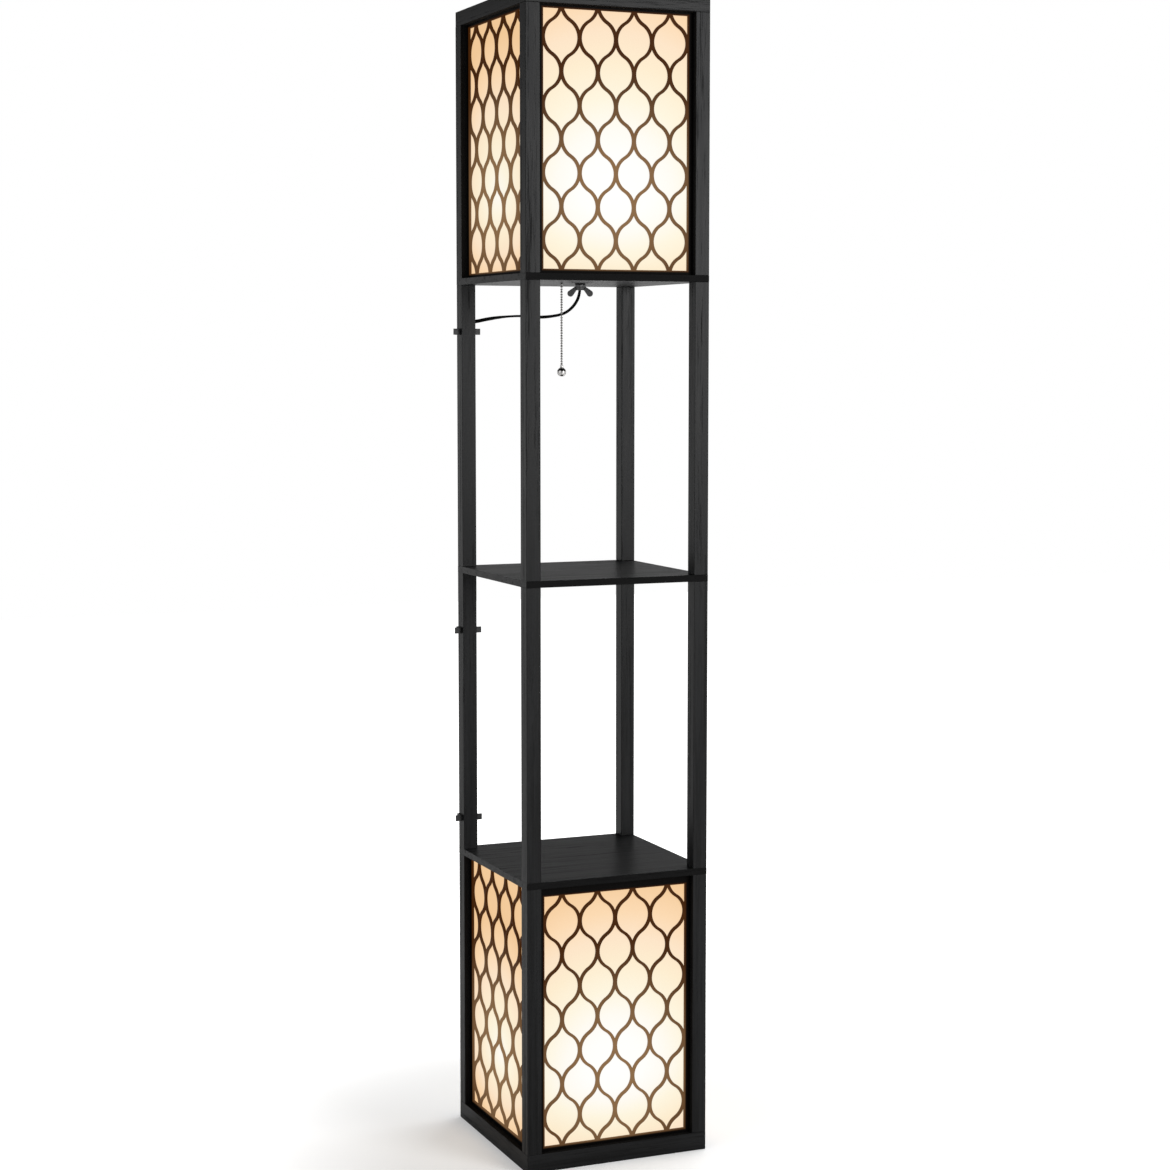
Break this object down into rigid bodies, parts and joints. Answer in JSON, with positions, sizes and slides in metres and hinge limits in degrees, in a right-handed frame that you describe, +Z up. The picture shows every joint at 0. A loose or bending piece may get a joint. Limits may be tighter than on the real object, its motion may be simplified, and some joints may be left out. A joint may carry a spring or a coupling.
{
  "type": "shelf floor lamp",
  "caption": "Tall square floor lamp with open display shelves between two glowing lattice-panelled lantern boxes, a pull chain and a clipped mains cord.",
  "frame": {"origin": "on the floor, in the middle of the square footprint", "axes": "+Z up, -Y the front, +X to the right seen from the front; the lamp is the same on all four sides except for the cord behind the back left post"},
  "size_m": [0.2745, 0.356, 1.572],
  "materials": {
    "frame_wood": "black stained, open grain, satin",
    "shelf_wood": "black stained veneer, open grain, satin",
    "lattice_wood": "dark brown cut board, matt",
    "diffuser": "translucent cream sheet, lit from inside",
    "holder_plastic": "moulded, matt",
    "bulb_cap": "rolled thread, bright",
    "bulb_glass": "frosted",
    "brass": "turned, threaded",
    "black_metal": "dark grey, satin",
    "chain_metal": "bright plated",
    "cord_black": "twin flex, satin",
    "plug_plastic": "moulded, satin",
    "clip_plastic": "moulded, satin",
    "steel": "zinc plated",
    "dowel_wood": "plain beech",
    "rubber": "matt"
  },
  "bodies": {
    "root": {"base_rail_front": "frame_wood", "base_rail_right": "frame_wood", "base_rail_back": "frame_wood", "base_rail_left": "frame_wood", "base_board": "shelf_wood", "lower_lantern_post_front_left": "frame_wood", "lower_lantern_post_front_right": "frame_wood", "lower_lantern_post_back_right": "frame_wood", "lower_lantern_post_back_left": "frame_wood", "lower_bay_post_front_left": "frame_wood", "lower_bay_post_front_right": "frame_wood", "lower_bay_post_back_right": "frame_wood", "lower_bay_post_back_left": "frame_wood", "upper_bay_post_front_left": "frame_wood", "upper_bay_post_front_right": "frame_wood", "upper_bay_post_back_right": "frame_wood", "upper_bay_post_back_left": "frame_wood", "upper_lantern_post_front_left": "frame_wood", "upper_lantern_post_front_right": "frame_wood", "upper_lantern_post_back_right": "frame_wood", "upper_lantern_post_back_left": "frame_wood", "lower_shelf": "shelf_wood", "middle_shelf": "shelf_wood", "upper_shelf": "shelf_wood", "top_rail_front": "frame_wood", "top_rail_right": "frame_wood", "top_rail_back": "frame_wood", "top_rail_left": "frame_wood", "lower_lattice_front": "lattice_wood", "lower_lattice_right": "lattice_wood", "lower_lattice_back": "lattice_wood", "lower_lattice_left": "lattice_wood", "lower_diffusers": "diffuser", "lower_lampholder_base": "holder_plastic", "lower_lampholder_shell": "holder_plastic", "upper_lattice_front": "lattice_wood", "upper_lattice_right": "lattice_wood", "upper_lattice_back": "lattice_wood", "upper_lattice_left": "lattice_wood", "upper_diffusers": "diffuser", "upper_lampholder_base": "holder_plastic", "upper_lampholder_shell": "holder_plastic", "lamp_nipples": "brass", "lower_lock_nut": "brass", "cord": "cord_black", "cord_coil": "cord_black", "plug": "plug_plastic", "cord_clips": "clip_plastic", "shelf_studs": "steel", "frame_dowels": "dowel_wood", "cable_grommet": "rubber"},
    "upper_bulb": {"upper_bulb_cap": "bulb_cap", "upper_bulb_glass": "bulb_glass"},
    "lower_bulb": {"lower_bulb_cap": "bulb_cap", "lower_bulb_glass": "bulb_glass"},
    "wing_nut": {"wing_nut": "black_metal"},
    "chain_top": {"pull_chain_top": "chain_metal"},
    "chain_link": {"pull_chain_link": "chain_metal"},
    "chain_drop": {"pull_chain_drop": "chain_metal", "pull_ball": "chain_metal"}
  },
  "joints": [
    {"name": "upper_bulb_turn", "type": "hinge", "parent": "root", "child": "upper_bulb", "pos_m": [0, 0, 1.24], "axis": [0, 0, 1], "continuous": true},
    {"name": "lower_bulb_turn", "type": "hinge", "parent": "root", "child": "lower_bulb", "pos_m": [0, 0, 0.057], "axis": [0, 0, 1], "continuous": true},
    {"name": "wing_nut_turn", "type": "hinge", "parent": "root", "child": "wing_nut", "pos_m": [0, 0, 1.19], "axis": [0, 0, 1], "continuous": true},
    {"name": "chain_pull", "type": "slide", "parent": "root", "child": "chain_top", "axis": [0, 0, -1], "range_m": [0, 0.008], "stiffness_N_per_m": 300, "springref_m": -0.004},
    {"name": "chain_swing_side", "type": "hinge", "parent": "chain_top", "child": "chain_link", "pos_m": [-0.0318, -0.01, 1.19], "axis": [0, 1, 0], "range_deg": [-35, 35]},
    {"name": "chain_swing_front", "type": "hinge", "parent": "chain_link", "child": "chain_drop", "pos_m": [-0.0318, -0.01, 1.183], "axis": [1, 0, 0], "range_deg": [-35, 35]}
  ]
}
